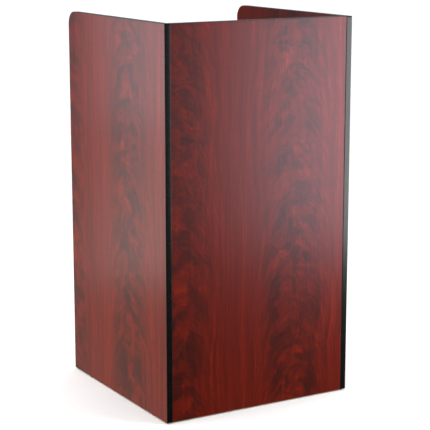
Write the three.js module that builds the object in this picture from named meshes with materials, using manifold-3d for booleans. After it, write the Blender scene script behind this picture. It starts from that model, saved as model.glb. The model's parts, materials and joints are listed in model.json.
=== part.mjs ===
// A box-shaped wooden pulpit, built flat-pack fashion from laminated boards.
// Two side panels carry a front panel, a sloping reading desk, a bottom shelf and a
// kick rail on cam fittings and dowels. A loose storage shelf lies on four pins.
// Black T-moulding covers the exposed board edges, and four nailed glides are the feet.
// Millimetres, +Z up. The front faces -Y and the speaker stands at +Y. "Left" is -X.
// The origin is on the floor, under the middle of the case.

import * as THREE from 'three';
import { mergeVertices } from 'three/addons/utils/BufferGeometryUtils.js';
import Module from 'manifold-3d';

const wasm = await Module();
wasm.setup();

// ---------------------------------------------------------------- driving dimensions

const WIDTH = 637;              // over the side panels
const DEPTH = 632;              // over the edgings, front to rear
const HEIGHT = 1168;            // floor to the top of the edgings
const BOARD = 19;               // thickness of every board
const GAP = 0.3;                // clearance between neighbouring pieces
const OVERRUN = 1;              // how far a cutter runs past the face it opens
const WELD = 1e-4;              // corners closer than this are one when a mesh becomes a solid

const REAR_CORNER = 38;         // radius of a side panel's upper rear corner
const FRONT_CORNER = 1.5;       // radius of its upper front corner
const CORNER_STEPS = 14;        // facets of a quarter circle

const CAP = 1.6;                // how far the edging stands out of the board's edge
const SHOULDER = 1;             // radius of the edging's shoulders
const SHOULDER_STEPS = 3;
const TONGUE_WIDTH = 1.6;       // the edging's spine, pressed into the board's kerf
const TONGUE_DEPTH = 6;
const KERF_WIDTH = 2.2;
const KERF_DEPTH = 6.5;

const DESK_SLOPE = THREE.MathUtils.degToRad(12);
const DESK_DROP = 38;           // front edge of the reading surface below the case's top
const DESK_LENGTH = 505;        // down the slope
const STOP_RISE = 19;           // how far the book stop's board stands above the desk

const LOOSE = 1;                // the storage shelf's clearance at each side
const SHELF_REAR = 205;         // Y of the storage shelf's rear edge
const BOTTOM_SHELF_TOP = 100;
const BOTTOM_SHELF_REAR = 262;
const RAIL_FRONT = 222;         // Y of the kick rail's front face
const RAIL_BOTTOM = 14;

// where the fittings are: heights in the front panel, Y under the bottom shelf, and
// distances down the desk's slope
const FRONT_CAMS = { front_lower: 210, front_upper: 960 };
const FRONT_DOWEL = 590;
const BOTTOM_SHELF_CAMS = { bottom_shelf_front: -190, bottom_shelf_rear: 150 };
const DESK_CAMS = { desk_front: 95, desk_rear: 410 };
const STOP_DOWELS = { left: -220, middle: 0, right: 220 };

const CAM_INSET = 34;           // centre of a cam from the joint between the boards
const CAM_RADIUS = 7.2;
const CAM_HEIGHT = 13.8;
const CAM_SLOT_LENGTH = 9;
const CAM_SLOT_WIDTH = 1.4;
const CAM_SLOT_DEPTH = 2;
const CHANNEL_HALF = 4;         // half the width of the channel that admits the bolt
const BOLT_THREAD = 10.7;       // length screwed into the side panel
const BOLT_THREAD_RADIUS = 2.3;
const BOLT_SHANK_RADIUS = 3;
const BOLT_NECK_RADIUS = 1.9;
const BOLT_HEAD_RADIUS = 3.3;
const CHAMFER = 1;              // on the ends and steps of the bolts
const PILOT_EXTRA = 0.5;        // how much deeper a blind hole is than what it holds

const DOWEL_RADIUS = 3;
const DOWEL_LENGTH = 30;
const DOWEL_IN_SIDE = 11;

const PIN_RADIUS = 2.5;
const PIN_IN_SIDE = 8;
const PIN_HEAD_RADIUS = 4.5;
const PIN_HEAD_LENGTH = 9;
const PIN_FLAT = 3;             // height of the seat above the pin's axis
const PIN_HOLE_DEPTH = 10;
const PIN_HOLE_PITCH = 32;
const PIN_HOLE_COUNT = 7;
const PIN_HOLE_LOWEST = 508;
const PIN_ROWS_Y = [-225, 140];
const PIN_USED = 3;             // the hole that the pins are in, counted from the lowest, 0

const GLIDE_RADIUS = 9.5;
const GLIDE_HEIGHT = 4;
const GLIDE_FLAT = 7;           // radius of the face that meets the floor
const GLIDE_ROUND = 2;          // height of its rounded lower edge
const GLIDE_FRONT_Y = -226;
const GLIDE_REAR_Y = 200;
const NAIL_RADIUS = 1.2;
const NAIL_HEAD_RADIUS = 3;
const NAIL_HEAD_BASE = 1.5;     // height of the head's underside above the floor
const NAIL_HEAD_TOP = 2.5;
const NAIL_TIP = 24;            // height of the point
const NAIL_TAPER = 3;           // length of the point

const ROUND_LARGE = 20;         // sides of a cam and its bore
const ROUND_SMALL = 12;         // sides of a bolt, dowel, pin or nail

// ------------------------------------------------------------------------ derived

const HALF_WIDTH = WIDTH / 2;
const INNER_X = HALF_WIDTH - BOARD;
const HALF_SPAN = INNER_X - GAP;
const BASE_Z = GLIDE_HEIGHT + GAP;
const TOP_Z = HEIGHT - CAP;
const FRONT_Y = -DEPTH / 2 + CAP;
const REAR_Y = DEPTH / 2 - CAP;
const FRONT_PANEL_BACK = FRONT_Y + BOARD;
const BOTTOM_SHELF_BASE = BOTTOM_SHELF_TOP - BOARD;
const RAIL_TOP = BOTTOM_SHELF_BASE - GAP;
const STOP_FRONT = DESK_LENGTH + GAP;
const PIN_Z = PIN_HOLE_LOWEST + PIN_USED * PIN_HOLE_PITCH;
const STORAGE_SHELF_BASE = PIN_Z + PIN_FLAT + GAP;

const X = new THREE.Vector3(1, 0, 0);
const Y = new THREE.Vector3(0, 1, 0);
const Z = new THREE.Vector3(0, 0, 1);

const DOWN = Z.clone().negate();

// A shape drawn in XY and extruded along Z is turned so that its length runs along X.
// Its own Y then points up, or to the rear.
const UPRIGHT = new THREE.Matrix4().makeBasis(Y, Z, X);
const REARWARD = new THREE.Matrix4().makeBasis(DOWN, Y, X);

const SIDES = [
  { label: 'left', sign: -1 },
  { label: 'right', sign: 1 },
];

// ---------------------------------------------------------------------- materials

const finish = (color, roughness, metalness) => () =>
  new THREE.MeshStandardMaterial({ color, roughness, metalness });

const mahogany = finish(0x6e3a31, 0.35, 0);
const blackVinyl = finish(0x2b2b2c, 0.45, 0);
const beech = finish(0xc9a777, 0.7, 0);
const zinc = finish(0xb4b6b8, 0.35, 1);
const steel = finish(0x8f9296, 0.4, 1);
const nylon = finish(0x9a938b, 0.6, 0);

// ------------------------------------------------------------------ solid geometry

function solid(geometry, place = null) {
  const bare = geometry.clone();
  if (place) {
    bare.applyMatrix4(place);
  }
  bare.deleteAttribute('normal');
  bare.deleteAttribute('uv');
  const merged = mergeVertices(bare, WELD);
  return new wasm.Manifold(new wasm.Mesh({
    numProp: 3,
    vertProperties: new Float32Array(merged.attributes.position.array),
    triVerts: new Uint32Array(merged.index.array),
  }));
}

function geometryOf(shape) {
  const cut = shape.getMesh();
  const geometry = new THREE.BufferGeometry();
  geometry.setAttribute('position', new THREE.BufferAttribute(cut.vertProperties, 3));
  geometry.setIndex(new THREE.BufferAttribute(cut.triVerts, 1));
  return geometry;
}

function without(shape, cutters) {
  return cutters.reduce((left, cutter) => left.subtract(cutter), shape);
}

function boxGeometry(low, high) {
  const size = high.map((value, axis) => value - low[axis]);
  const centre = high.map((value, axis) => (value + low[axis]) / 2);
  return new THREE.BoxGeometry(...size).translate(...centre);
}

// a round bar from start to end along +X, +Y or +Z of its own frame
function barGeometry(axis, radius, start, end, sides = ROUND_SMALL) {
  const bar = new THREE.CylinderGeometry(radius, radius, end - start, sides);
  bar.translate(0, (start + end) / 2, 0);
  if (axis === X) {
    bar.rotateZ(-Math.PI / 2);
  }
  if (axis === Z) {
    bar.rotateX(Math.PI / 2);
  }
  return bar;
}

// a turned piece: points are [radius, distance], and the axis is +Y until it is laid on +X or +Z
function turnedGeometry(axis, points, sides = ROUND_SMALL) {
  const profile = points.map(([radius, distance]) => new THREE.Vector2(radius, distance));
  const turned = new THREE.LatheGeometry(profile, sides);
  if (axis === X) {
    turned.rotateZ(-Math.PI / 2);
  }
  if (axis === Z) {
    turned.rotateX(Math.PI / 2);
  }
  return turned;
}

function prism(shape, thickness, bevel = 0) {
  const geometry = new THREE.ExtrudeGeometry(shape, {
    depth: thickness - 2 * bevel,
    bevelEnabled: bevel > 0,
    bevelThickness: bevel,
    bevelSize: bevel,
    bevelOffset: -bevel,
    bevelSegments: SHOULDER_STEPS,
    curveSegments: CORNER_STEPS,
  });
  return geometry.translate(0, 0, bevel - thickness / 2);
}

const pulpit = new THREE.Group();

function addMesh(parent, name, geometry, material) {
  const mesh = new THREE.Mesh(geometry, material());
  mesh.name = name;
  parent.add(mesh);
  return mesh;
}

// ------------------------------------------------------------------------ edgings

// the T-shaped section: X across the board's thickness, Y out of its edge
function edgingSection() {
  const half = BOARD / 2;
  const spine = TONGUE_WIDTH / 2;
  const section = new THREE.Shape();
  section.moveTo(-half, GAP);
  section.lineTo(-spine, GAP);
  section.lineTo(-spine, -TONGUE_DEPTH);
  section.lineTo(spine, -TONGUE_DEPTH);
  section.lineTo(spine, GAP);
  section.lineTo(half, GAP);
  section.absarc(half - SHOULDER, CAP - SHOULDER, SHOULDER, 0, Math.PI / 2);
  section.absarc(SHOULDER - half, CAP - SHOULDER, SHOULDER, Math.PI / 2, Math.PI);
  return section;
}

function addStraightEdging(parent, name, facing, position, halfLength = HALF_SPAN) {
  const geometry = new THREE.ExtrudeGeometry(edgingSection(), {
    depth: 2 * halfLength,
    bevelEnabled: false,
    curveSegments: SHOULDER_STEPS,
  });
  geometry.translate(0, 0, -halfLength).applyMatrix4(facing);
  addMesh(parent, name, geometry, blackVinyl).position.set(...position);
}

// the kerf that takes an edging's spine, along a board's rear edge or its top edge
function rearKerf(edgeY, middleZ) {
  return solid(boxGeometry(
    [-HALF_WIDTH, edgeY - KERF_DEPTH, middleZ - KERF_WIDTH / 2],
    [HALF_WIDTH, edgeY + OVERRUN, middleZ + KERF_WIDTH / 2],
  ));
}

function topKerf(middleY, edgeZ) {
  return solid(boxGeometry(
    [-HALF_WIDTH, middleY - KERF_WIDTH / 2, edgeZ - KERF_DEPTH],
    [HALF_WIDTH, middleY + KERF_WIDTH / 2, edgeZ + OVERRUN],
  ));
}

// -------------------------------------------------------- fittings between boards

// A cam fitting's own frame: the origin is where the boards meet, halfway through the
// board that holds the cam. X runs into that board and Z out of the face the cam is in.
const CAM_FACE = BOARD / 2 - GAP;
const CAM_FLOOR = CAM_FACE - CAM_HEIGHT;

function camGeometry() {
  const body = barGeometry(Z, CAM_RADIUS, CAM_FLOOR, CAM_FACE, ROUND_LARGE);
  body.translate(CAM_INSET, 0, 0);
  const channel = boxGeometry(
    [CAM_INSET - CAM_RADIUS - OVERRUN, -CHANNEL_HALF, CAM_FLOOR - OVERRUN],
    [CAM_INSET + CHANNEL_HALF, CHANNEL_HALF, CHANNEL_HALF],
  );
  const slotLow = CAM_FACE - CAM_SLOT_DEPTH;
  const slotHigh = CAM_FACE + OVERRUN;
  const long = CAM_SLOT_LENGTH / 2;
  const narrow = CAM_SLOT_WIDTH / 2;
  const along = boxGeometry(
    [CAM_INSET - long, -narrow, slotLow],
    [CAM_INSET + long, narrow, slotHigh],
  );
  const across = boxGeometry(
    [CAM_INSET - narrow, -long, slotLow],
    [CAM_INSET + narrow, long, slotHigh],
  );
  return geometryOf(without(solid(body), [solid(channel), solid(along), solid(across)]));
}

function boltGeometry() {
  const neck = CAM_INSET - CAM_RADIUS - CHAMFER;
  const head = CAM_INSET - BOLT_HEAD_RADIUS;
  const end = CAM_INSET + CHAMFER;
  return turnedGeometry(X, [
    [0, -BOLT_THREAD],
    [BOLT_THREAD_RADIUS, CHAMFER - BOLT_THREAD],
    [BOLT_THREAD_RADIUS, GAP],
    [BOLT_SHANK_RADIUS, GAP],
    [BOLT_SHANK_RADIUS, neck],
    [BOLT_NECK_RADIUS, neck + CHAMFER],
    [BOLT_NECK_RADIUS, head],
    [BOLT_HEAD_RADIUS, head + CHAMFER],
    [BOLT_HEAD_RADIUS, end],
    [0, end + CHAMFER],
  ]);
}

function camBores() {
  const pocket = barGeometry(Z, CAM_RADIUS + GAP, CAM_FLOOR - GAP, BOARD, ROUND_LARGE);
  pocket.translate(CAM_INSET, 0, 0);
  return [pocket, barGeometry(X, CHANNEL_HALF, -OVERRUN, CAM_INSET)];
}

const CAM = camGeometry();
const BOLT = boltGeometry();
const BOLT_PILOT = barGeometry(
  X, BOLT_THREAD_RADIUS + GAP, -BOLT_THREAD - PILOT_EXTRA, OVERRUN,
);

const DOWEL = barGeometry(X, DOWEL_RADIUS, -DOWEL_IN_SIDE, DOWEL_LENGTH - DOWEL_IN_SIDE);
const DOWEL_HOLE = barGeometry(
  X,
  DOWEL_RADIUS + GAP,
  -DOWEL_IN_SIDE - PILOT_EXTRA,
  DOWEL_LENGTH - DOWEL_IN_SIDE + PILOT_EXTRA,
);

// The fitting's frame at a side panel's inner face: X into the case, Z along "facing".
function fittingFrame(sign, y, z, facing) {
  const inward = X.clone().multiplyScalar(-sign);
  const sideways = facing.clone().cross(inward);
  const place = new THREE.Matrix4().makeBasis(inward, sideways, facing);
  return place.setPosition(sign * INNER_X, y, z);
}

function putAt(mesh, frame) {
  frame.decompose(mesh.position, mesh.quaternion, mesh.scale);
}

// holes to cut in each side panel, collected while the boards between them are made
const sideHoles = { left: [], right: [] };

// Adds one cam and bolt at each side, and returns the holes for the board between them.
function addCamPair(parent, name, y, z, facing) {
  const bores = [];
  for (const { label, sign } of SIDES) {
    const frame = fittingFrame(sign, y, z, facing);
    putAt(addMesh(parent, `${name}_cam_${label}`, CAM, zinc), frame);
    putAt(addMesh(parent, `${name}_cam_bolt_${label}`, BOLT, steel), frame);
    bores.push(...camBores().map((bore) => solid(bore, frame)));
    sideHoles[label].push(solid(BOLT_PILOT, parent.matrixWorld.clone().multiply(frame)));
  }
  return bores;
}

function addDowelPair(name, y, z) {
  return SIDES.map(({ label, sign }) => {
    const frame = fittingFrame(sign, y, z, Y);
    putAt(addMesh(pulpit, `${name}_dowel_${label}`, DOWEL, beech), frame);
    const hole = solid(DOWEL_HOLE, frame);
    sideHoles[label].push(hole);
    return hole;
  });
}

// ------------------------------------------------------------------------- boards

function addFrontPanel() {
  const middleY = FRONT_Y + BOARD / 2;
  const holes = [topKerf(middleY, TOP_Z), ...addDowelPair('front', middleY, FRONT_DOWEL)];
  for (const [name, height] of Object.entries(FRONT_CAMS)) {
    holes.push(...addCamPair(pulpit, name, middleY, height, Y));
  }
  const board = solid(boxGeometry(
    [-HALF_SPAN, FRONT_Y, BASE_Z],
    [HALF_SPAN, FRONT_PANEL_BACK, TOP_Z],
  ));
  addMesh(pulpit, 'front_panel', geometryOf(without(board, holes)), mahogany);
  addStraightEdging(pulpit, 'front_panel_edging', UPRIGHT, [0, middleY, TOP_Z]);
}

function addBottomShelf() {
  const middleZ = BOTTOM_SHELF_BASE + BOARD / 2;
  const holes = [rearKerf(BOTTOM_SHELF_REAR, middleZ)];
  for (const [name, y] of Object.entries(BOTTOM_SHELF_CAMS)) {
    holes.push(...addCamPair(pulpit, name, y, middleZ, DOWN));
  }
  const board = solid(boxGeometry(
    [-HALF_SPAN, FRONT_PANEL_BACK + GAP, BOTTOM_SHELF_BASE],
    [HALF_SPAN, BOTTOM_SHELF_REAR, BOTTOM_SHELF_TOP],
  ));
  addMesh(pulpit, 'bottom_shelf', geometryOf(without(board, holes)), mahogany);
  const edge = [0, BOTTOM_SHELF_REAR, middleZ];
  addStraightEdging(pulpit, 'bottom_shelf_edging', REARWARD, edge);
}

function addKickRail() {
  const middleY = RAIL_FRONT + BOARD / 2;
  const holes = [
    ...addDowelPair('kick_rail_lower', middleY, RAIL_BOTTOM + BOARD),
    ...addDowelPair('kick_rail_upper', middleY, RAIL_TOP - BOARD),
  ];
  const board = solid(boxGeometry(
    [-HALF_SPAN, RAIL_FRONT, RAIL_BOTTOM],
    [HALF_SPAN, RAIL_FRONT + BOARD, RAIL_TOP],
  ));
  addMesh(pulpit, 'kick_rail', geometryOf(without(board, holes)), mahogany);
}

function addStorageShelf() {
  const half = INNER_X - LOOSE;
  const middleZ = STORAGE_SHELF_BASE + BOARD / 2;
  const board = solid(boxGeometry(
    [-half, FRONT_PANEL_BACK + LOOSE, STORAGE_SHELF_BASE],
    [half, SHELF_REAR, STORAGE_SHELF_BASE + BOARD],
  ));
  const grooved = without(board, [rearKerf(SHELF_REAR, middleZ)]);
  addMesh(pulpit, 'storage_shelf', geometryOf(grooved), mahogany);
  const edge = [0, SHELF_REAR, middleZ];
  addStraightEdging(pulpit, 'storage_shelf_edging', REARWARD, edge, half);
}

// ------------------------------------------------------------------- reading desk

// The desk's own frame: origin on its upper front edge, Y down the slope, Z out of the top.
function deskGroup() {
  const group = new THREE.Group();
  group.rotation.x = -DESK_SLOPE;
  group.position.y = FRONT_PANEL_BACK + GAP + BOARD * Math.sin(DESK_SLOPE);
  group.position.z = HEIGHT - DESK_DROP;
  group.updateMatrixWorld();
  return group;
}

// dowels that hold the book stop on the desk's rear edge, and their holes in both boards
function addStopDowels(desk) {
  const forward = new THREE.Matrix4().makeBasis(Y.clone().negate(), X, Z);
  return Object.entries(STOP_DOWELS).map(([label, x]) => {
    const frame = forward.clone().setPosition(x, STOP_FRONT, -BOARD / 2);
    putAt(addMesh(desk, `book_stop_dowel_${label}`, DOWEL, beech), frame);
    return solid(DOWEL_HOLE, frame);
  });
}

function addBookStop(desk, dowelHoles) {
  const middleY = STOP_FRONT + BOARD / 2;
  const board = solid(boxGeometry(
    [-HALF_SPAN, STOP_FRONT, -BOARD],
    [HALF_SPAN, STOP_FRONT + BOARD, STOP_RISE],
  ));
  const holes = [topKerf(middleY, STOP_RISE), ...dowelHoles];
  addMesh(desk, 'book_stop', geometryOf(without(board, holes)), mahogany);
  addStraightEdging(desk, 'book_stop_edging', UPRIGHT, [0, middleY, STOP_RISE]);
}

function addReadingDesk() {
  const desk = deskGroup();
  pulpit.add(desk);
  const dowelHoles = addStopDowels(desk);
  const holes = [...dowelHoles];
  for (const [name, y] of Object.entries(DESK_CAMS)) {
    holes.push(...addCamPair(desk, name, y, -BOARD / 2, DOWN));
  }
  const board = solid(boxGeometry([-HALF_SPAN, 0, -BOARD], [HALF_SPAN, DESK_LENGTH, 0]));
  addMesh(desk, 'reading_desk', geometryOf(without(board, holes)), mahogany);
  addBookStop(desk, dowelHoles);
}

// -------------------------------------------------------------------- side panels

// a side panel's outline, moved outwards by "offset" and ending at the height "bottom"
function sideOutline(offset, bottom) {
  const front = FRONT_Y - offset;
  const rear = REAR_Y + offset;
  const top = TOP_Z + offset;
  const frontRadius = Math.max(FRONT_CORNER + offset, GAP);
  const rearRadius = REAR_CORNER + offset;
  const outline = new THREE.Shape();
  outline.moveTo(front, bottom);
  outline.lineTo(rear, bottom);
  outline.absarc(rear - rearRadius, top - rearRadius, rearRadius, 0, Math.PI / 2);
  outline.absarc(front + frontRadius, top - frontRadius, frontRadius, Math.PI / 2, Math.PI);
  return outline;
}

function sidePlate(offset, thickness, bottom = BASE_Z, bevel = 0) {
  return solid(prism(sideOutline(offset, bottom), thickness, bevel), UPRIGHT);
}

// the band that follows the front, top and rear edges between two offsets
function edgeBand(outer, inner, thickness, bevel = 0) {
  const below = BASE_Z - BOARD;
  const plate = sidePlate(outer, thickness, below, bevel);
  const core = sidePlate(inner, WIDTH, below - BOARD);
  const floor = solid(boxGeometry([-WIDTH, -DEPTH, below - BOARD], [WIDTH, DEPTH, BASE_Z]));
  return without(plate, [core, floor]);
}

function pinHoles(sign) {
  const holes = [];
  for (const y of PIN_ROWS_Y) {
    for (let row = 0; row < PIN_HOLE_COUNT; row += 1) {
      const frame = fittingFrame(sign, y, PIN_HOLE_LOWEST + row * PIN_HOLE_PITCH, Y);
      holes.push(solid(barGeometry(X, PIN_RADIUS + GAP, -PIN_HOLE_DEPTH, OVERRUN), frame));
    }
  }
  return holes;
}

function nailHoles(middleX) {
  return [GLIDE_FRONT_Y, GLIDE_REAR_Y].map((y) => {
    const hole = barGeometry(Z, NAIL_RADIUS + GAP, 0, NAIL_TIP + PILOT_EXTRA);
    return solid(hole.translate(middleX, y, 0));
  });
}

function addSide({ label, sign }) {
  const middleX = sign * (HALF_WIDTH - BOARD / 2);
  const kerf = edgeBand(OVERRUN, -KERF_DEPTH, KERF_WIDTH).translate([middleX, 0, 0]);
  const cutters = [kerf, ...sideHoles[label], ...pinHoles(sign), ...nailHoles(middleX)];
  const board = without(sidePlate(0, BOARD).translate([middleX, 0, 0]), cutters);
  addMesh(pulpit, `side_panel_${label}`, geometryOf(board), mahogany);
  const cap = edgeBand(CAP, GAP, BOARD, SHOULDER);
  const spine = edgeBand(CAP / 2, -TONGUE_DEPTH, TONGUE_WIDTH);
  const edging = addMesh(pulpit, `side_edging_${label}`, geometryOf(cap.add(spine)), blackVinyl);
  edging.position.x = middleX;
}

// ----------------------------------------------------------------- pins and glides

// a stepped peg with a flat seat on top, in a fitting's frame that faces up
function pinGeometry() {
  const shaft = solid(barGeometry(X, PIN_RADIUS, -PIN_IN_SIDE, GAP + OVERRUN));
  const head = solid(barGeometry(X, PIN_HEAD_RADIUS, GAP, PIN_HEAD_LENGTH));
  const above = solid(boxGeometry(
    [-PIN_IN_SIDE, -PIN_HEAD_RADIUS, PIN_FLAT],
    [2 * PIN_HEAD_LENGTH, PIN_HEAD_RADIUS, 2 * PIN_HEAD_RADIUS],
  ));
  return geometryOf(shaft.add(head).subtract(above));
}

function addShelfPins() {
  const geometry = pinGeometry();
  const ends = { front: PIN_ROWS_Y[0], rear: PIN_ROWS_Y[1] };
  for (const [end, y] of Object.entries(ends)) {
    for (const { label, sign } of SIDES) {
      const pin = addMesh(pulpit, `shelf_pin_${end}_${label}`, geometry, zinc);
      putAt(pin, fittingFrame(sign, y, PIN_Z, Z));
    }
  }
}

// the glide is hollow round the nail's head and open at the top where the nail leaves
function glideGeometry() {
  const slope = (GLIDE_RADIUS - GLIDE_FLAT) / 2;
  return turnedGeometry(Z, [
    [0, 0],
    [GLIDE_FLAT, 0],
    [GLIDE_RADIUS - slope / 2, GLIDE_ROUND / 2],
    [GLIDE_RADIUS, GLIDE_ROUND],
    [GLIDE_RADIUS, GLIDE_HEIGHT],
    [NAIL_RADIUS + GAP, GLIDE_HEIGHT],
    [NAIL_RADIUS + GAP, NAIL_HEAD_TOP + GAP],
    [NAIL_HEAD_RADIUS + GAP, NAIL_HEAD_TOP + GAP],
    [NAIL_HEAD_RADIUS + GAP, NAIL_HEAD_BASE - GAP],
    [0, NAIL_HEAD_BASE - GAP],
  ], ROUND_LARGE);
}

function nailGeometry() {
  return turnedGeometry(Z, [
    [0, NAIL_HEAD_BASE],
    [NAIL_HEAD_RADIUS, NAIL_HEAD_BASE],
    [NAIL_HEAD_RADIUS, NAIL_HEAD_TOP],
    [NAIL_RADIUS, NAIL_HEAD_TOP],
    [NAIL_RADIUS, NAIL_TIP - NAIL_TAPER],
    [0, NAIL_TIP],
  ]);
}

function addGlides() {
  const ends = { front: GLIDE_FRONT_Y, rear: GLIDE_REAR_Y };
  for (const [end, y] of Object.entries(ends)) {
    for (const { label, sign } of SIDES) {
      const foot = [sign * (HALF_WIDTH - BOARD / 2), y, 0];
      const glide = addMesh(pulpit, `glide_${end}_${label}`, glideGeometry(), nylon);
      glide.position.set(...foot);
      const nail = addMesh(pulpit, `glide_nail_${end}_${label}`, nailGeometry(), steel);
      nail.position.set(...foot);
    }
  }
}

// ----------------------------------------------------------------------- assembly

addFrontPanel();
addBottomShelf();
addKickRail();
addStorageShelf();
addReadingDesk();
SIDES.forEach(addSide);
addShelfPins();
addGlides();

export default pulpit;
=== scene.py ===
"""The looks of a box-shaped wooden pulpit in mahogany laminate with black T-moulding.

Metres, +Z up, in the CAD model's frame: the front faces -Y and the speaker stands at +Y.
Mouldings and fittings are drawn in millimetres and then put in their places.
"""

import json
import math
from collections import namedtuple

import bmesh
import bpy
from mathutils import Matrix, Vector


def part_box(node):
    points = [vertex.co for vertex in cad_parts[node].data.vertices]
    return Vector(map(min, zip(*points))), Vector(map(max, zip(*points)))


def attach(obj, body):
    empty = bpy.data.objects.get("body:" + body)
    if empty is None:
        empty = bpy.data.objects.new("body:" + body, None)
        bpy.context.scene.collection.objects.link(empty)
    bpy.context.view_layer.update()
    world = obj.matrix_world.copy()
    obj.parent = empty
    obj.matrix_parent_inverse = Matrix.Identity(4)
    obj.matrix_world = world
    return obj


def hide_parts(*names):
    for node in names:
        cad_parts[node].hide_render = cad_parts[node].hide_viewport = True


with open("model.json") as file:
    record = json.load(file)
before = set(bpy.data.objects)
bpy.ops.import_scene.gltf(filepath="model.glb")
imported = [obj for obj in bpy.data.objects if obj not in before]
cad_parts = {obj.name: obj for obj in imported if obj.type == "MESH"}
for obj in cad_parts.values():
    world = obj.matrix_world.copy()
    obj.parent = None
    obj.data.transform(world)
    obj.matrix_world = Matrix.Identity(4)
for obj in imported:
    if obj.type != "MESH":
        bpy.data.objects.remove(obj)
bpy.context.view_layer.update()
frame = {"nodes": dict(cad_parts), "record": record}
NODES = frame["nodes"]

DESK_SLOPE = math.radians(12)


# ------------------------------------------------------------------ shader helpers

class Graph:
    """A material's node tree, with short calls for the nodes that the finishes use."""

    def __init__(self, name):
        self.material = bpy.data.materials.new(name)
        self.material.use_nodes = True
        self.tree = self.material.node_tree
        self.shader = self.tree.nodes["Principled BSDF"]

    def node(self, kind, inputs=None, **settings):
        made = self.tree.nodes.new(kind)
        for key, value in settings.items():
            setattr(made, key, value)
        for key, value in (inputs or {}).items():
            self.feed(made.inputs[key], value)
        return made

    def feed(self, socket, value):
        """Link the socket to another socket, or set it to a plain value."""
        if isinstance(value, bpy.types.NodeSocket):
            self.tree.links.new(value, socket)
        else:
            socket.default_value = value

    def surface(self, inputs):
        """Feed the shader's own sockets, by their names."""
        for key, value in inputs.items():
            self.feed(self.shader.inputs[key], value)

    def maths(self, operation, *values, clamp=False):
        made = self.node("ShaderNodeMath", operation=operation, use_clamp=clamp)
        for index, value in enumerate(values):
            self.feed(made.inputs[index], value)
        return made.outputs[0]

    def smooth(self, value, low, high):
        """0 at low and 1 at high, with a smooth rise between them."""
        made = self.node(
            "ShaderNodeMapRange",
            {"Value": value, "From Min": low, "From Max": high},
            interpolation_type="SMOOTHSTEP",
        )
        return made.outputs["Result"]

    def mix(self, factor, first, second):
        made = self.node("ShaderNodeMix", data_type="RGBA")
        self.feed(made.inputs["Factor"], factor)
        self.feed(made.inputs[6], first)
        self.feed(made.inputs[7], second)
        return made.outputs[2]

    def vector(self, x, y, z):
        return self.node("ShaderNodeCombineXYZ", {"X": x, "Y": y, "Z": z}).outputs[0]

    def noise(self, vector, scale, detail=2.0, roughness=0.5, distortion=0.0):
        made = self.node(
            "ShaderNodeTexNoise",
            {
                "Vector": vector,
                "Scale": scale,
                "Detail": detail,
                "Roughness": roughness,
                "Distortion": distortion,
            },
        )
        return made.outputs["Fac"]

    def centred(self, value, gain):
        """gain times (value - 0.5)."""
        return self.maths("MULTIPLY", self.maths("SUBTRACT", value, 0.5), gain)

    def raised(self, value, base, gain):
        """base plus gain times value."""
        return self.maths("MULTIPLY_ADD", value, gain, base)

    def ramp(self, value, stops):
        made = self.node("ShaderNodeValToRGB", {"Fac": value})
        ramp = made.color_ramp
        while len(ramp.elements) < len(stops):
            ramp.elements.new(1.0)
        for element, (place, colour) in zip(ramp.elements, stops):
            element.position = place
            element.color = (*colour, 1.0)
        return made.outputs["Color"]

    def bump(self, height, strength, distance):
        made = self.node(
            "ShaderNodeBump",
            {"Height": height, "Strength": strength, "Distance": distance},
        )
        return made.outputs["Normal"]

    def coordinates(self, kind="Object"):
        return self.node("ShaderNodeTexCoord").outputs[kind]

    def axes(self, vector):
        return self.node("ShaderNodeSeparateXYZ", {"Vector": vector}).outputs


# ----------------------------------------------------------------- mahogany laminate
#
# The figure is worked out from u, the place across the grain, and along, the place with
# it. Each noise reads a slice of its own, at the board's seed plus a different offset.

FIGURE_REPEAT = 0.41       # the laminate's printed figure comes again every 0.41 m across
PLUME_HALF = 0.097         # half the width of a plume of crotch figure
INSIDE_FALL = -0.75        # the inside is the exponential of this times the reach's fourth power
FLANK_FALL = -0.30         # and the flank that of this times its square
ARCH_DROP = 0.055          # an arch drops by this times the square plus the cube of the reach
CLOUD_DROP = 0.05          # and a cloud by this times the square
MIDDLE_TONE = 0.48
PLUME_OPENNESS = 0.45      # how much fainter the straight grain is inside a plume
PLUME_SHADE = -0.05        # what a plume, its clouds and its veins add to the tone
CLOUD_SHADE = -0.26
VEIN_LIGHT = 0.20
PORE_SHAPE = 0.03          # a pore's width over its length
PORE_DARKNESS = 0.35
PORE_COLOUR = (0.022, 0.008, 0.007, 1.0)
PORE_DEPTH = -0.6          # of a pore in the bump map, where the skin's texture rises by 1
FACE_LIMIT = 0.7           # least cosine between a broad face's normal and the board's
SATIN = 0.30               # roughness of the laminate
PORE_ROUGHER = 0.05        # how much rougher a pore is
CORE_ROUGHER = 0.5         # how much rougher the particleboard is
SHEEN = (0.97, 0.86, 1.0, 1.0)      # the laminate's gloss is faintly violet

MAHOGANY = [
    (0.00, (0.045, 0.0090, 0.0070)),
    (0.25, (0.090, 0.0105, 0.0060)),
    (0.50, (0.165, 0.0130, 0.0055)),
    (0.75, (0.280, 0.0195, 0.0070)),
    (1.00, (0.460, 0.0380, 0.0135)),
]

PARTICLEBOARD = [
    (0.30, (0.16, 0.09, 0.05)),
    (0.50, (0.34, 0.22, 0.13)),
    (0.72, (0.52, 0.38, 0.24)),
]

Plume = namedtuple("Plume", "distance reach square inside flank")


def drawn_out(graph, first, second, stretch, seed):
    """A place in a noise whose features are long in the second direction."""
    return graph.vector(first, graph.maths("MULTIPLY", second, stretch), seed)


def wandering(graph, across, along, seed):
    """The place across the grain, which wanders a little from end to end of the board."""
    wander = graph.noise(drawn_out(graph, across, along, stretch=0.35, seed=seed), scale=9.0)
    return graph.maths("ADD", across, graph.centred(wander, gain=0.034))


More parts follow.
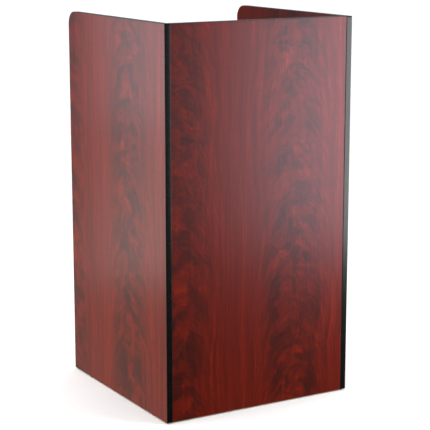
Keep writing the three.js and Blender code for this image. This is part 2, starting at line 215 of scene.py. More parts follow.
def plume_shape(graph, u, plume_at):
    """The signed distance from the nearest plume's middle, its reach in half widths and
    that squared, a mask that is 1 inside the plume, and one that takes in its flanks."""
    half = FIGURE_REPEAT / 2
    distance = graph.maths("WRAP", graph.maths("SUBTRACT", u, plume_at), half, -half)
    reach = graph.maths("ABSOLUTE", graph.maths("DIVIDE", distance, PLUME_HALF))
    square = graph.maths("MULTIPLY", reach, reach)
    fourth = graph.maths("MULTIPLY", square, square)
    inside = graph.maths("EXPONENT", graph.maths("MULTIPLY", fourth, INSIDE_FALL))
    flank = graph.maths("EXPONENT", graph.maths("MULTIPLY", square, FLANK_FALL))
    return Plume(distance, reach, square, inside, flank)


def straight_grain(graph, u, along, plume, seed):
    """Fine streaks and broader strands, which swell beside a plume and fade inside it."""
    swell = graph.noise(graph.vector(0.0, along, seed + 3.0), scale=4.0, detail=1.0)
    swelling = graph.maths("MULTIPLY", graph.centred(swell, gain=0.75), plume.flank)
    swelling = graph.maths("MULTIPLY", swelling, plume.flank)
    bent = graph.raised(plume.distance, base=u, gain=swelling)

    streak_place = drawn_out(graph, bent, along, stretch=0.012, seed=seed)
    streaks = graph.noise(streak_place, scale=230.0, detail=3.0, roughness=0.7)
    strand_place = drawn_out(graph, bent, along, stretch=0.022, seed=seed + 7.0)
    strands = graph.noise(strand_place, scale=75.0, roughness=0.55)
    fine = graph.centred(streaks, gain=0.80)
    broad = graph.centred(strands, gain=0.60)
    strength = graph.raised(plume.inside, base=1.0, gain=-PLUME_OPENNESS)
    return graph.maths("MULTIPLY", graph.maths("ADD", fine, broad), strength)


def arched_figure(graph, u, along, plume, seed):
    """Bands and bright veins in arches that drop on either side of the plume's middle."""
    swirl_place = graph.vector(u, along, seed + 11.0)
    swirl = graph.noise(swirl_place, scale=12.0)
    ripple = graph.noise(swirl_place, scale=42.0)
    drop = graph.raised(plume.square, base=plume.square, gain=plume.reach)
    arch = graph.raised(drop, base=along, gain=ARCH_DROP)
    arch = graph.maths("ADD", arch, graph.centred(swirl, gain=0.16))
    arch = graph.maths("ADD", arch, graph.centred(ripple, gain=0.025))

    band_place = drawn_out(graph, arch, u, stretch=0.30, seed=seed + 13.0)
    bands = graph.noise(band_place, scale=30.0, detail=3.0, roughness=0.55)
    vein_place = drawn_out(graph, arch, u, stretch=0.25, seed=seed + 19.0)
    vein_field = graph.noise(vein_place, scale=46.0)
    vein_offset = graph.maths("ABSOLUTE", graph.maths("SUBTRACT", vein_field, 0.5))
    veins = graph.smooth(vein_offset, low=0.055, high=0.0)
    patch_field = graph.noise(swirl_place, scale=21.0, detail=1.0)
    veins = graph.maths("MULTIPLY", veins, graph.smooth(patch_field, low=0.42, high=0.62))
    return graph.raised(veins, base=graph.centred(bands, gain=0.78), gain=VEIN_LIGHT)


def plume_shade(graph, u, along, plume, seed):
    """What a plume adds to the tone: a little shade all over, and more in its clouds."""
    height = graph.raised(plume.square, base=along, gain=CLOUD_DROP)
    place = graph.vector(u, height, seed + 23.0)
    cloud = graph.noise(place, scale=19.0, detail=3.0, roughness=0.6, distortion=0.6)
    clouded = graph.smooth(cloud, low=0.42, high=0.60)
    return graph.raised(clouded, base=PLUME_SHADE, gain=CLOUD_SHADE)


def figure_tone(graph, across, along, plume_at, seed):
    """0 to 1, dark to bright: straight grain, and plumes of arched and clouded figure."""
    u = wandering(graph, across, along, seed)
    plume = plume_shape(graph, u, plume_at)
    grain = straight_grain(graph, u, along, plume, seed)
    figure = arched_figure(graph, u, along, plume, seed)
    shade = plume_shade(graph, u, along, plume, seed)
    tone = graph.maths("ADD", grain, MIDDLE_TONE)
    tone = graph.raised(figure, base=tone, gain=plume.flank)
    return graph.maths("MULTIPLY_ADD", shade, plume.inside, tone, clamp=True)


def open_pores(graph, across, along, seed):
    """1 in the short, fine pores that lie along the grain."""
    place = drawn_out(graph, across, along, stretch=PORE_SHAPE, seed=seed + 31.0)
    return graph.smooth(graph.noise(place, scale=1500.0, detail=1.0), low=0.56, high=0.68)


def on_broad_faces(graph, face):
    """1 on the board's two broad faces, whose normal is face, and 0 on its edges."""
    facing = graph.node("ShaderNodeVectorMath", operation="DOT_PRODUCT")
    graph.feed(facing.inputs[0], graph.coordinates("Normal"))
    graph.feed(facing.inputs[1], face)
    cosine = graph.maths("ABSOLUTE", facing.outputs["Value"])
    return graph.maths("GREATER_THAN", cosine, FACE_LIMIT)


def laminate(name, across, along, face, plume_at, seed):
    """Satin laminate on the board's two faces, particleboard on its cut edges.

    across and along name the axes over and with the grain, and face is the board's normal.
    """
    graph = Graph(name)
    place = graph.coordinates()
    axes = graph.axes(place)
    tone = figure_tone(graph, axes[across], axes[along], plume_at, seed)
    pores = open_pores(graph, axes[across], axes[along], seed)
    darkening = graph.maths("MULTIPLY", pores, PORE_DARKNESS)
    skin_colour = graph.mix(darkening, graph.ramp(tone, MAHOGANY), PORE_COLOUR)
    chips = graph.noise(place, scale=420.0, roughness=0.6)
    skin = on_broad_faces(graph, face)
    colour = graph.mix(skin, graph.ramp(chips, PARTICLEBOARD), skin_colour)

    mottle = graph.noise(place, scale=60.0)
    satin = graph.maths("ADD", SATIN, graph.centred(mottle, gain=0.05))
    satin = graph.raised(pores, base=satin, gain=PORE_ROUGHER)
    core = graph.maths("SUBTRACT", 1.0, skin)

    peel = graph.noise(place, scale=900.0)
    height = graph.raised(pores, base=peel, gain=PORE_DEPTH)
    graph.surface({
        "Base Color": colour,
        "Roughness": graph.raised(core, base=satin, gain=CORE_ROUGHER),
        "Specular Tint": SHEEN,
        "Normal": graph.bump(height, strength=0.06, distance=0.0004),
    })
    return graph.material


# -------------------------------------------------------------------- other finishes

def black_vinyl():
    """Satin black, a little scuffed, with a fine moulded grain."""
    graph = Graph("black_vinyl")
    place = graph.coordinates()
    mottle = graph.noise(place, scale=45.0, detail=3.0, roughness=0.6)
    colour = graph.ramp(mottle, [
        (0.30, (0.0045, 0.0047, 0.0048)),
        (0.70, (0.0085, 0.0087, 0.0090)),
    ])
    wear = graph.noise(place, scale=160.0, detail=4.0, roughness=0.7)
    scuffs = graph.smooth(wear, low=0.55, high=0.75)
    grain = graph.noise(place, scale=1400.0)
    graph.surface({
        "Base Color": colour,
        "Roughness": graph.raised(scuffs, base=0.24, gain=0.08),
        "Normal": graph.bump(grain, strength=0.08, distance=0.0003),
    })
    return graph.material


def plated(name, dark, light, roughness):
    """Plated metal, blotched between the dark and light colours."""
    graph = Graph(name)
    place = graph.coordinates()
    blotch = graph.noise(place, scale=300.0, detail=4.0, roughness=0.65)
    brushing = graph.noise(place, scale=900.0, detail=3.0)
    graph.surface({
        "Base Color": graph.ramp(blotch, [(0.3, dark), (0.7, light)]),
        "Metallic": 1.0,
        "Roughness": graph.raised(brushing, base=roughness - 0.12, gain=0.25),
        "Normal": graph.bump(blotch, strength=0.1, distance=0.0002),
    })
    return graph.material


def beech():
    """Plain beech with its small rays."""
    graph = Graph("beech_dowel")
    rays = graph.noise(graph.coordinates(), scale=700.0, detail=4.0, roughness=0.7)
    graph.surface({
        "Base Color": graph.ramp(rays, [(0.3, (0.50, 0.32, 0.16)), (0.7, (0.68, 0.48, 0.28))]),
        "Roughness": graph.raised(rays, base=0.6, gain=0.2),
        "Normal": graph.bump(rays, strength=0.2, distance=0.0003),
    })
    return graph.material


def nylon():
    """Slightly waxy grey-brown nylon."""
    graph = Graph("nylon_glide")
    cloud = graph.noise(graph.coordinates(), scale=220.0, detail=3.0, roughness=0.6)
    graph.surface({
        "Base Color": graph.ramp(cloud, [(0.3, (0.19, 0.16, 0.14)), (0.7, (0.27, 0.235, 0.205))]),
        "Subsurface Weight": 0.1,
        "Subsurface Radius": (0.002, 0.0015, 0.001),
        "Roughness": graph.raised(cloud, base=0.42, gain=0.15),
        "Normal": graph.bump(cloud, strength=0.1, distance=0.0003),
    })
    return graph.material


# ------------------------------------------------------------------ finishing the CAD

DESK_FACE = (0.0, math.sin(DESK_SLOPE), math.cos(DESK_SLOPE))
STOP_FACE = (0.0, DESK_FACE[2], -DESK_FACE[1])
BOARDS = {
    "front_panel": dict(across="X", along="Z", face=(0, 1, 0), plume_at=0.122, seed=1.3),
    "side_panel_left": dict(across="Y", along="Z", face=(1, 0, 0), plume_at=-0.085, seed=4.1),
    "side_panel_right": dict(across="Y", along="Z", face=(1, 0, 0), plume_at=0.02, seed=9.6),
    "reading_desk": dict(across="Y", along="X", face=DESK_FACE, plume_at=-0.05, seed=13.2),
    "book_stop": dict(across="Z", along="X", face=STOP_FACE, plume_at=0.2, seed=15.7),
    "storage_shelf": dict(across="Y", along="X", face=(0, 0, 1), plume_at=0.05, seed=18.4),
    "bottom_shelf": dict(across="Y", along="X", face=(0, 0, 1), plume_at=-0.12, seed=22.9),
    "kick_rail": dict(across="Z", along="X", face=(0, 1, 0), plume_at=0.25, seed=27.1),
}
for board, figure in BOARDS.items():
    materials = NODES[board].data.materials
    materials.clear()
    materials.append(laminate(f"laminate_{board}", **figure))


# ------------------------------------------------------------------- shaping pieces

MM = 0.001
SMOOTH_ANGLE = math.radians(32)
BODY_OF = {
    node: body
    for body, nodes in frame["record"]["behaviour"]["bodies"].items()
    for node in nodes
}


def stand_in(node, shape, place, material):
    """Show this bmesh, drawn in millimetres in its own frame, instead of a CAD node."""
    shape.transform(place @ Matrix.Scale(MM, 4))
    bmesh.ops.recalc_face_normals(shape, faces=shape.faces)
    if shape.calc_volume(signed=True) < 0:
        bmesh.ops.reverse_faces(shape, faces=shape.faces)
    mesh = bpy.data.meshes.new(f"{node}_look")
    shape.to_mesh(mesh)
    shape.free()
    mesh.materials.append(material)
    mesh.polygons.foreach_set("use_smooth", [True] * len(mesh.polygons))
    mesh.set_sharp_from_angle(angle=SMOOTH_ANGLE)
    shown = bpy.data.objects.new(f"{node}_look", mesh)
    bpy.context.scene.collection.objects.link(shown)
    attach(shown, BODY_OF[node])
    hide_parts(node)


def loft(rings):
    """A closed skin over rings of points, each with the same number of points."""
    shape = bmesh.new()
    rows = [[shape.verts.new(point) for point in ring] for ring in rings]
    for first, second in zip(rows, rows[1:]):
        for index in range(len(first)):
            after = (index + 1) % len(first)
            shape.faces.new((first[index], first[after], second[after], second[index]))
    shape.faces.new(list(reversed(rows[0])))
    shape.faces.new(rows[-1])
    return shape


def turned(profile, sides, radius=lambda distance, angle, plain: plain):
    """A piece turned about its X axis from (distance, radius) points.

    radius may vary the plain radius by distance and angle, for threads and flutes.
    """
    rings = []
    for distance, plain in profile:
        ring = []
        for index in range(sides):
            angle = 2 * math.pi * index / sides
            reach = radius(distance, angle, plain)
            ring.append((distance, reach * math.cos(angle), reach * math.sin(angle)))
        rings.append(ring)
    return loft(rings)


def carve(shape, cutters):
    """The shape with the cutters taken out of it by Boolean modifiers."""
    holders = []
    for part in [shape, *cutters]:
        bmesh.ops.recalc_face_normals(part, faces=part.faces)
        mesh = bpy.data.meshes.new("blank")
        part.to_mesh(mesh)
        part.free()
        holder = bpy.data.objects.new("blank", mesh)
        bpy.context.scene.collection.objects.link(holder)
        holders.append(holder)
    for cutter in holders[1:]:
        cut = holders[0].modifiers.new("cut", "BOOLEAN")
        cut.operation = "DIFFERENCE"
        cut.solver = "EXACT"
        cut.object = cutter
    evaluated = holders[0].evaluated_get(bpy.context.evaluated_depsgraph_get())
    carved = bmesh.new()
    carved.from_mesh(evaluated.to_mesh())
    evaluated.to_mesh_clear()
    for holder in holders:
        bpy.data.objects.remove(holder)
    return carved


def box_between(low, high):
    corners = [(low[1], low[2]), (high[1], low[2]), (high[1], high[2]), (low[1], high[2])]
    return loft([[(x, y, z) for y, z in corners] for x in (low[0], high[0])])


def centre_of(node):
    low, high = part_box(node)
    return (low + high) / 2


def axes_at(origin, x_axis, z_axis):
    """The matrix that puts a piece's own X and Z along these directions, at the origin."""
    along = Vector(x_axis)
    up = Vector(z_axis)
    turn = Matrix((along, up.cross(along), up)).transposed().to_4x4()
    return Matrix.Translation(origin) @ turn


# ------------------------------------------------------------------------- edgings

BLACK_VINYL = black_vinyl()
BOARD = 19.0               # thickness of every board
GAP = 0.3                  # clearance between neighbouring pieces
CAP = 1.6                  # the moulding's height above the board's edge
CAP_HALF = BOARD / 2       # half its width
CROWN = 0.2                # how much higher its middle is than its shoulders
CROWN_STEPS = 8
SHOULDER = 1.0             # radius of its shoulders
SHOULDER_STEPS = 6
SPINE = 6.0                # depth of the barbed spine in the board's kerf
SPINE_NOTCHED = 0.4        # what is left of it where the moulding bends sharply
NOTCH = 7.0                # length over which the spine is cut away beside the bend
BARBS = [                  # share of the spine's depth, half its thickness there
    (0.08, 0.55), (0.22, 1.00), (0.30, 0.55), (0.46, 1.00), (0.54, 0.55),
    (0.70, 1.00), (0.78, 0.55), (1.00, 0.45),
]

SIDE_LOW, SIDE_HIGH = (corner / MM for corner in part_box("side_panel_left"))
FRONT_CORNER = 1.5         # radii of a side panel's upper corners
FRONT_CORNER_STEPS = 8
REAR_CORNER = 38.0
REAR_CORNER_STEPS = 24


def moulding_section(spine):
    """The T-moulding's section as (across the board, out of its edge)."""
    flat_half = CAP_HALF - SHOULDER
    right = []
    for step in range(SHOULDER_STEPS + 1):
        angle = math.pi / 2 * step / SHOULDER_STEPS
        across = flat_half + SHOULDER * math.cos(angle)
        right.append((across, CAP - CROWN - SHOULDER + SHOULDER * math.sin(angle)))
    for step in range(1, CROWN_STEPS):
        across = flat_half * (1 - step / CROWN_STEPS)
        right.append((across, CAP - CROWN * (across / flat_half) ** 2))
    left = [(-across, out) for across, out in reversed(right)]
    barbs = [(half, GAP - share * (spine + GAP)) for share, half in BARBS]
    root = [(BARBS[0][1], GAP)]
    down = [(-half, out) for half, out in root + barbs]
    up = [(half, out) for half, out in reversed(root + barbs)]
    return [(CAP_HALF, GAP), *right, (0.0, CAP), *left, (-CAP_HALF, GAP), *down, *up]


def arc(centre, radius, start, end, steps):
    """Points on an arc with the direction that the moulding faces at each."""
    places = []
    for step in range(steps + 1):
        angle = start + (end - start) * step / steps
        facing = (math.cos(angle), math.sin(angle))
        point = (centre[0] + radius * facing[0], centre[1] + radius * facing[1])
        places.append((point, facing))
    return places


def side_path():
    """Round a side panel in its YZ plane: (point, facing, spine) from the front foot."""
    front, low = SIDE_LOW[1], SIDE_LOW[2]
    rear, top = SIDE_HIGH[1], SIDE_HIGH[2]
    bend_foot = top - FRONT_CORNER
    places = [((front, low), (-1, 0), SPINE), ((front, bend_foot - NOTCH), (-1, 0), SPINE)]
    front_centre = (front + FRONT_CORNER, bend_foot)
    front_bend = arc(front_centre, FRONT_CORNER, math.pi, math.pi / 2, FRONT_CORNER_STEPS)
    for point, facing in front_bend:
        places.append((point, facing, SPINE_NOTCHED))
    places.append(((front + FRONT_CORNER + NOTCH, top), (0, 1), SPINE))
    rear_centre = (rear - REAR_CORNER, top - REAR_CORNER)
    for point, facing in arc(rear_centre, REAR_CORNER, math.pi / 2, 0, REAR_CORNER_STEPS):
        places.append((point, facing, SPINE))
    places.append(((rear, low), (1, 0), SPINE))
    return places


def side_moulding():
    """The moulding of a side panel, along the panel's outline in the row's own YZ plane."""
    rings = []
    for point, facing, spine in side_path():
        ring = []
        for across, out in moulding_section(spine):
            ring.append((across, point[0] + out * facing[0], point[1] + out * facing[1]))
        rings.append(ring)
    return loft(rings)


def straight_moulding(length):
    """Along its own X, facing its own Z, with the board's edge at Z = 0."""
    section = moulding_section(SPINE)
    return loft([
        [(end * length / 2, across, out) for across, out in section] for end in (-1, 1)
    ])


for side in ("left", "right"):
    node = f"side_edging_{side}"
    place = Matrix.Translation((centre_of(node).x, 0, 0))
    stand_in(node, side_moulding(), place, BLACK_VINYL)

# The desk's own frame: origin on its upper front edge, Y down the slope, Z out of its top.
desk_low, desk_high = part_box("reading_desk")
DESK_LENGTH = 505.0
DESK_ORIGIN = Vector((0, desk_low.y + BOARD * MM * math.sin(DESK_SLOPE), desk_high.z))
DESK = axes_at(DESK_ORIGIN, (1, 0, 0), DESK_FACE)
STOP_RISE = BOARD          # how far the book stop's board stands above the desk
STOP_EDGE = Vector((0, DESK_LENGTH + GAP + BOARD / 2, STOP_RISE)) * MM

_, front_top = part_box("front_panel")
_, bottom_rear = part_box("bottom_shelf")
_, storage_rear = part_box("storage_shelf")
STRAIGHT = {
    "front_panel_edging": axes_at(
        (0, centre_of("front_panel").y, front_top.z), (1, 0, 0), (0, 0, 1)
    ),
    "bottom_shelf_edging": axes_at(
        (0, bottom_rear.y, centre_of("bottom_shelf").z), (1, 0, 0), (0, 1, 0)
    ),
    "storage_shelf_edging": axes_at(
        (0, storage_rear.y, centre_of("storage_shelf").z), (1, 0, 0), (0, 1, 0)
    ),
    "book_stop_edging": DESK @ Matrix.Translation(STOP_EDGE),
}
for node, place in STRAIGHT.items():
    low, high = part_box(node)
    stand_in(node, straight_moulding((high.x - low.x) / MM), place, BLACK_VINYL)


# ------------------------------------------------------------------------ fittings
#
# A fitting's own frame, as in the CAD: the origin is where the boards meet, X runs into
# the board between the side panels, and Z out of the face that the cam is in. Each
# turned profile is a list of (distance along X, radius).

CAM_INSET = 34.0           # centre of a cam from the joint between the boards
CAM_RADIUS = 7.2
CAM_HEIGHT = 13.8
CAM_FACE = BOARD / 2 - GAP
CAM_FLOOR = CAM_FACE - CAM_HEIGHT
CAM_CHANNEL = 4.0          # half the width of the channel that admits the bolt
CAM_RIM = 0.25             # how far the cam's face lies below its rim
ROUND_SIDES = 48           # sides of a cam, a pin or a glide
CROSS_LONG = 4.5           # half the length of a slot in the cam's cross
CROSS_NARROW = 0.75
CROSS_DEPTH = 2.2
ARROW = [(-6.0, 0.0), (-4.9, -1.1), (-4.9, 1.1)]
ARROW_DEPTH = 0.4
OVERRUN = 1.0              # how far a cutter runs past the face it opens

BOLT_TIP = -10.7
BOLT_SIDES = 28
BOLT_SHANK = 3.0           # radii of the bolt's parts
BOLT_NECK = 1.9
BOLT_HEAD = 3.3
THREAD_ROOT = 1.55
THREAD_CREST = 2.3
NECK_AHEAD = 1.0           # how far before the cam the shank narrows to the neck
THREAD_END = -0.6          # the crests stop here, and the plain root's rings a little later
ROOT_END = -0.4
THREAD_PITCH = 1.75
THREAD_WIDTH = 0.28        # half the width of a crest at its foot, in pitches
THREAD_FADE = 2.5          # length over which the thread rises from the tip
THREAD_STEPS_PER_TURN = 8

DOWEL_SIDES = 64
DOWEL_ENDS = [(-15.0, 2.2), (-14.7, 2.6), (-14.2, 2.9), (-13.6, 3.0)]
FLUTES = 16
FLUTE_DEPTH = 0.16

PIN_SEAT = 3.0             # height of the pin's flat seat above its axis
PIN_HEAD = 4.5             # radius of its head

GLIDE_RADIUS = 9.5
GLIDE_HEIGHT = 4.0
NAIL_SIDES = 24
NAIL_SHANK = 1.08
NAIL_RING_PITCH = 1.2
NAIL_RING_HEIGHT = 0.12
NAIL_RINGS = (6.0, 18.0)   # the stretch of the shank that has rings
NAIL_STEP = 0.3

STEEL = plated("bolt_steel", (0.42, 0.43, 0.45), (0.60, 0.61, 0.62), roughness=0.32)
ZINC = plated("zinc_casting", (0.46, 0.47, 0.48), (0.66, 0.67, 0.68), roughness=0.40)
NICKEL = plated("nickel_pin", (0.50, 0.49, 0.47), (0.70, 0.69, 0.66), roughness=0.24)
BEECH = beech()
NYLON = nylon()


def cam_blank():
    """The cam's body about its own X axis, from its floor to its face."""
    return turned([
        (CAM_FLOOR, CAM_RADIUS - 0.5),
        (CAM_FLOOR + 0.5, CAM_RADIUS),
        (CAM_FACE - 1.2, CAM_RADIUS),
        (CAM_FACE - 0.9, CAM_RADIUS),
        (CAM_FACE - 0.3, CAM_RADIUS),
        (CAM_FACE, CAM_RADIUS - 0.3),
        (CAM_FACE, CAM_RADIUS - 1.0),
        (CAM_FACE - CAM_RIM, CAM_RADIUS - 1.0 - CAM_RIM),
    ], ROUND_SIDES)


def cam():
    """The cam with its driver cross, its arrow and the channel that admits the bolt."""
    body = cam_blank()
    body.transform(axes_at((CAM_INSET, 0, 0), (0, 0, 1), (-1, 0, 0)))
    low = CAM_FACE - CROSS_DEPTH
    high = CAM_FACE + OVERRUN
    arrow_low = CAM_FACE - CAM_RIM - ARROW_DEPTH
    cutters = [
        box_between(
            (CAM_INSET - CROSS_LONG, -CROSS_NARROW, low),
            (CAM_INSET + CROSS_LONG, CROSS_NARROW, high),
        ),
        box_between(
            (CAM_INSET - CROSS_NARROW, -CROSS_LONG, low),
            (CAM_INSET + CROSS_NARROW, CROSS_LONG, high),
        ),
        box_between(
            (CAM_INSET - CAM_RADIUS - OVERRUN, -CAM_CHANNEL, CAM_FLOOR - OVERRUN),
            (CAM_INSET + CAM_CHANNEL, CAM_CHANNEL, CAM_CHANNEL),
        ),
        loft([[(CAM_INSET + x, y, z) for x, y in ARROW] for z in (arrow_low, high)]),
    ]
    return carve(body, cutters)


def thread_radius(distance, angle, plain):
    """Plain past the thread; on it, a sharp helical crest that rises from the tip."""
    if distance > THREAD_END or distance < BOLT_TIP + 0.3:
        return plain
    turn = (distance / THREAD_PITCH - angle / (2 * math.pi)) % 1.0
    crest = max(0.0, 1 - abs(turn - 0.5) / THREAD_WIDTH)
    fade = min(1.0, (distance - BOLT_TIP) / THREAD_FADE)
    return plain + (THREAD_CREST - THREAD_ROOT) * crest * fade


def bolt():
    """The cam bolt: coarse thread, shank, neck and rounded head."""
    pitch_step = THREAD_PITCH / THREAD_STEPS_PER_TURN
    profile = [(BOLT_TIP, 0.5), (BOLT_TIP + 0.3, 0.9), (BOLT_TIP + 1.2, THREAD_ROOT)]
    distance = BOLT_TIP + 1.2 + pitch_step
    while distance < ROOT_END:
        profile.append((distance, THREAD_ROOT))
        distance += pitch_step
    neck = CAM_INSET - CAM_RADIUS - NECK_AHEAD
    profile += [
        (0.0, THREAD_ROOT),
        (0.3, THREAD_CREST),
        (0.3, BOLT_SHANK - 0.2),
        (0.5, BOLT_SHANK),
        (neck, BOLT_SHANK),
        (neck + 0.7, BOLT_NECK + 0.3),
        (neck + 1.0, BOLT_NECK),
        (CAM_INSET - 3.3, BOLT_NECK),
        (CAM_INSET - 2.9, BOLT_HEAD - 0.7),
        (CAM_INSET - 2.3, BOLT_HEAD - 0.15),
        (CAM_INSET - 1.6, BOLT_HEAD),
        (CAM_INSET + 0.6, BOLT_HEAD),
        (CAM_INSET + 1.3, BOLT_HEAD - 0.4),
        (CAM_INSET + 1.8, BOLT_HEAD - 1.3),
        (CAM_INSET + 2.0, BOLT_HEAD - 2.0),
    ]
    return turned(profile, BOLT_SIDES, thread_radius)


def flute_radius(_distance, angle, plain):
    return plain - FLUTE_DEPTH * (0.5 + 0.5 * math.cos(FLUTES * angle))


def dowel():
    profile = DOWEL_ENDS + [(-distance, radius) for distance, radius in reversed(DOWEL_ENDS)]
    return turned(profile, DOWEL_SIDES, flute_radius)


def pin():
    """A stepped peg, flattened on top to the seat that the shelf lies on."""
    shape = turned([
        (-8.0, 1.6), (-7.6, 2.2), (-6.9, 2.5), (GAP, 2.5), (GAP, PIN_HEAD - 0.3),
        (0.6, PIN_HEAD), (8.4, PIN_HEAD), (8.8, PIN_HEAD - 0.2), (9.0, PIN_HEAD - 0.6),
    ], ROUND_SIDES)
    for vertex in shape.verts:
        vertex.co.z = min(vertex.co.z, PIN_SEAT)
    return shape


def glide():
    """Round its own X, which points up, with room inside for the nail's head."""
    rim = GLIDE_RADIUS - 0.2
    return turned([
        (0.0, 6.6), (0.12, 7.4), (0.5, 8.3), (1.1, 9.0), (1.8, 9.4), (2.4, GLIDE_RADIUS),
        (3.0, GLIDE_RADIUS), (3.1, rim), (3.3, rim), (3.4, GLIDE_RADIUS),
        (3.8, GLIDE_RADIUS), (GLIDE_HEIGHT, rim),
        (GLIDE_HEIGHT, 1.5), (2.8, 1.5), (2.8, 3.3), (1.2, 3.3),
    ], ROUND_SIDES)


def nail_radius(distance, _angle, plain):
    ring = 0.5 + 0.5 * math.cos(2 * math.pi * distance / NAIL_RING_PITCH)
    low, high = NAIL_RINGS
    return plain + (NAIL_RING_HEIGHT * ring if low < distance < high else 0.0)


def nail():
    """A ringed nail, head down, about its own X, which points up."""
    first, last = (round(height / NAIL_STEP) for height in NAIL_RINGS)
    shank = [(step * NAIL_STEP, NAIL_SHANK) for step in range(first, last + 1)]
    return turned([
        (1.5, 2.7), (1.7, 3.0), (2.3, 3.0), (2.5, 2.8), (2.5, 1.2), (3.0, 1.1),
        *shank, (21.0, 1.1), (23.8, 0.12),
    ], NAIL_SIDES, nail_radius)


_, left_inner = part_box("side_panel_left")
INNER_X = -left_inner.x
SIGNS = {"left": -1, "right": 1}
CAM_FACINGS = {
    "front": (0, 1, 0),
    "bottom_shelf": (0, 0, -1),
    "desk": (0, -DESK_FACE[1], -DESK_FACE[2]),
}


def joint_place(bolt_node, side):
    """Where a cam fitting's frame is, from the bolt's axis and the side panel's face."""
    facing = next(CAM_FACINGS[key] for key in CAM_FACINGS if bolt_node.startswith(key))
    middle = centre_of(bolt_node)
    sign = SIGNS[side]
    return axes_at((sign * INNER_X, middle.y, middle.z), (-sign, 0, 0), facing)


def pin_place(node, side):
    """Where a shelf pin's frame is: its axis is one head's radius above its lowest point."""
    low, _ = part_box(node)
    sign = SIGNS[side]
    axis = (sign * INNER_X, centre_of(node).y, low.z + PIN_HEAD * MM)
    return axes_at(axis, (-sign, 0, 0), (0, 0, 1))


def glide_place(node):
    """The foot of a glide or its nail, with the piece's own X pointing up."""
    middle = centre_of(node)
    return axes_at((middle.x, middle.y, 0), (0, 0, 1), (-1, 0, 0))


for node in NODES:
    side = node.rsplit("_", 1)[-1]
    if "_cam_bolt_" in node:
        stand_in(node, bolt(), joint_place(node, side), STEEL)
    elif "_cam_" in node:
        bolt_node = node.replace("_cam_", "_cam_bolt_")
        stand_in(node, cam(), joint_place(bolt_node, side), ZINC)
    elif node.startswith("book_stop_dowel"):
        place = axes_at(centre_of(node), STOP_FACE, DESK_FACE)
        stand_in(node, dowel(), place, BEECH)
    elif "_dowel_" in node:
        place = axes_at(centre_of(node), (1, 0, 0), (0, 0, 1))
        stand_in(node, dowel(), place, BEECH)
    elif node.startswith("shelf_pin"):
        stand_in(node, pin(), pin_place(node, side), NICKEL)
    elif node.startswith("glide_nail"):
        stand_in(node, nail(), glide_place(node), STEEL)
    elif node.startswith("glide"):
        stand_in(node, glide(), glide_place(node), NYLON)


# ---------------------------------------------------------------------------- stage

MIDDLE = (0.0, 0.0, 0.7)           # what the area lights are aimed at
FLOOR_HALF = 60.0
BACKDROP_RADIUS = 55.0

CAMERA_PLACE = (-2.239, -3.866, 1.463)
CAMERA_AZIMUTH = math.radians(-30.4)
CAMERA_ELEVATION = math.radians(11.7)
LENS = 121.4
SENSOR = 36.0

NEUTRAL = (1.0, 1.0, 1.0)
COOL = (0.96, 0.97, 1.0)
WARM = (1.0, 0.98, 0.92)
FAINTLY_WARM = (1.0, 1.0, 0.94)
AREA_LIGHTS = {
    "key_right": dict(place=(1.29, -1.56, 0.70), size=(0.88, 1.24), power=17, colour=NEUTRAL),
    "card_high": dict(place=(-1.11, 0.99, 1.03), size=(0.60, 0.82), power=4.0, colour=COOL),
    "card_low": dict(place=(-1.11, 0.99, 0.33), size=(0.60, 0.56), power=1.6, colour=WARM),
    "fill_left": dict(
        place=(-3.20, 0.11, 0.66), size=(1.20, 1.20), power=50, colour=FAINTLY_WARM
    ),
    "soft_right": dict(
        place=(0.90, -1.35, 1.25), size=(0.60, 0.80), power=8, colour=NEUTRAL, glossy=False
    ),
}
OVERHEAD_POWER = 2.6
OVERHEAD_SPREAD = math.radians(80)

DARK_SIDE = (0.5, -0.866, 0.0)     # towards the front right, where the studio is dark
ABOVE_EDGES = (0.60, 0.90)         # cosines to the dark side between which it darkens
ABOVE_LEVELS = (0.42, 0.02)        # strengths away from the dark side and on it
BELOW_EDGES = (0.50, 0.86)
BELOW_LEVELS = (0.50, 0.0)
BELOW_TINT = (1.0, 0.88, 0.74, 1.0)
HORIZON = (-0.35, 0.0)             # heights between which below turns into above
BLACK = (0.0, 0.0, 0.0, 1.0)
WHITE = (1.0, 1.0, 1.0, 1.0)


def add_camera():
    """The photograph's view, from the front left and a little above."""
    camera = bpy.data.cameras.new("camera")
    camera.lens = LENS
    camera.sensor_width = SENSOR
    holder = bpy.data.objects.new("camera", camera)
    holder.location = CAMERA_PLACE
    back = Vector((
        math.sin(CAMERA_AZIMUTH) * math.cos(CAMERA_ELEVATION),
        -math.cos(CAMERA_AZIMUTH) * math.cos(CAMERA_ELEVATION),
        math.sin(CAMERA_ELEVATION),
    ))
    holder.rotation_euler = back.to_track_quat("Z", "Y").to_euler()
    bpy.context.scene.collection.objects.link(holder)
    bpy.context.scene.camera = holder


def add_floor():
    """A pale floor that shows the object's soft shadow and throws no light back at it."""
    mesh = bpy.data.meshes.new("floor")
    half = FLOOR_HALF
    corners = [(-half, -half, 0), (half, -half, 0), (half, half, 0), (-half, half, 0)]
    mesh.from_pydata(corners, [], [(0, 1, 2, 3)])
    floor = bpy.data.objects.new("floor", mesh)
    bpy.context.scene.collection.objects.link(floor)
    graph = Graph("pale_floor")
    tone = graph.noise(graph.coordinates(), scale=3.0, detail=3.0)
    colour = graph.ramp(tone, [(0.3, (0.94, 0.94, 0.94)), (0.7, (0.97, 0.97, 0.97))])
    graph.surface({"Base Color": colour, "Roughness": 0.9})
    mesh.materials.append(graph.material)
    floor.visible_diffuse = False
    floor.visible_glossy = False


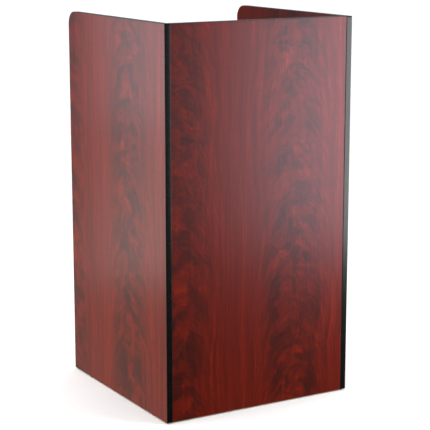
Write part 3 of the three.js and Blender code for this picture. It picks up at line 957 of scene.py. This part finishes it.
def add_backdrop():
    """A white dome far outside the studio, seen by the camera and lighting nothing."""
    mesh = bpy.data.meshes.new("backdrop")
    shape = bmesh.new()
    bmesh.ops.create_uvsphere(shape, u_segments=64, v_segments=32, radius=BACKDROP_RADIUS)
    shape.to_mesh(mesh)
    shape.free()
    backdrop = bpy.data.objects.new("backdrop", mesh)
    bpy.context.scene.collection.objects.link(backdrop)
    graph = Graph("white_backdrop")
    graph.surface({
        "Base Color": BLACK,
        "Specular IOR Level": 0.0,
        "Emission Color": WHITE,
        "Emission Strength": 1.0,
    })
    mesh.materials.append(graph.material)
    backdrop.visible_diffuse = False
    backdrop.visible_glossy = False
    backdrop.visible_transmission = False
    backdrop.visible_shadow = False


def add_world():
    """Pale surroundings, warmer below the horizon and dark on the dark side.

    Above the horizon the side opposite the dark one is dark too.
    """
    world = bpy.data.worlds.new("studio")
    bpy.context.scene.world = world
    world.use_nodes = True
    tree = world.node_tree
    background = tree.nodes["Background"]
    place = tree.nodes.new("ShaderNodeTexCoord")
    split = tree.nodes.new("ShaderNodeSeparateXYZ")
    tree.links.new(place.outputs["Generated"], split.inputs[0])

    def fade(value, edges, ends):
        made = tree.nodes.new("ShaderNodeMapRange")
        made.interpolation_type = "SMOOTHSTEP"
        made.inputs["From Min"].default_value, made.inputs["From Max"].default_value = edges
        made.inputs["To Min"].default_value, made.inputs["To Max"].default_value = ends
        tree.links.new(value, made.inputs["Value"])
        return made.outputs["Result"]

    towards = tree.nodes.new("ShaderNodeVectorMath")
    towards.operation = "DOT_PRODUCT"
    towards.inputs[1].default_value = DARK_SIDE
    tree.links.new(place.outputs["Generated"], towards.inputs[0])
    either_way = tree.nodes.new("ShaderNodeMath")
    either_way.operation = "ABSOLUTE"
    tree.links.new(towards.outputs["Value"], either_way.inputs[0])
    below = fade(towards.outputs["Value"], BELOW_EDGES, BELOW_LEVELS)
    above = fade(either_way.outputs["Value"], ABOVE_EDGES, ABOVE_LEVELS)
    rise = fade(split.outputs["Z"], HORIZON, (0.0, 1.0))
    tint = tree.nodes.new("ShaderNodeMix")
    tint.data_type = "RGBA"
    tint.inputs[6].default_value = BELOW_TINT
    tint.inputs[7].default_value = WHITE
    tree.links.new(rise, tint.inputs["Factor"])
    tree.links.new(tint.outputs[2], background.inputs["Color"])
    level = tree.nodes.new("ShaderNodeMix")
    tree.links.new(rise, level.inputs["Factor"])
    tree.links.new(below, level.inputs[2])
    tree.links.new(above, level.inputs[3])
    tree.links.new(level.outputs[0], background.inputs["Strength"])


def add_overhead():
    """A broad soft light from straight above, which whitens the floor."""
    lamp = bpy.data.lights.new("overhead", "SUN")
    lamp.energy = OVERHEAD_POWER
    lamp.angle = OVERHEAD_SPREAD
    holder = bpy.data.objects.new("overhead", lamp)
    holder.location = (0.0, 0.0, 4.0)
    holder.visible_glossy = False
    bpy.context.scene.collection.objects.link(holder)


def area_light(name, place, size, power, colour, glossy=True):
    """A rectangular light aimed at the middle, left out of reflections if not glossy."""
    lamp = bpy.data.lights.new(name, "AREA")
    lamp.shape = "RECTANGLE"
    lamp.size, lamp.size_y = size
    lamp.energy = power
    lamp.color = colour
    holder = bpy.data.objects.new(name, lamp)
    holder.location = place
    holder.rotation_euler = (Vector(MIDDLE) - Vector(place)).to_track_quat("-Z", "Y").to_euler()
    holder.visible_camera = False
    holder.visible_glossy = glossy
    bpy.context.scene.collection.objects.link(holder)


add_camera()
add_floor()
add_backdrop()
add_world()
add_overhead()
for name, settings in AREA_LIGHTS.items():
    area_light(name, **settings)
bpy.context.scene.view_settings.view_transform = "Standard"
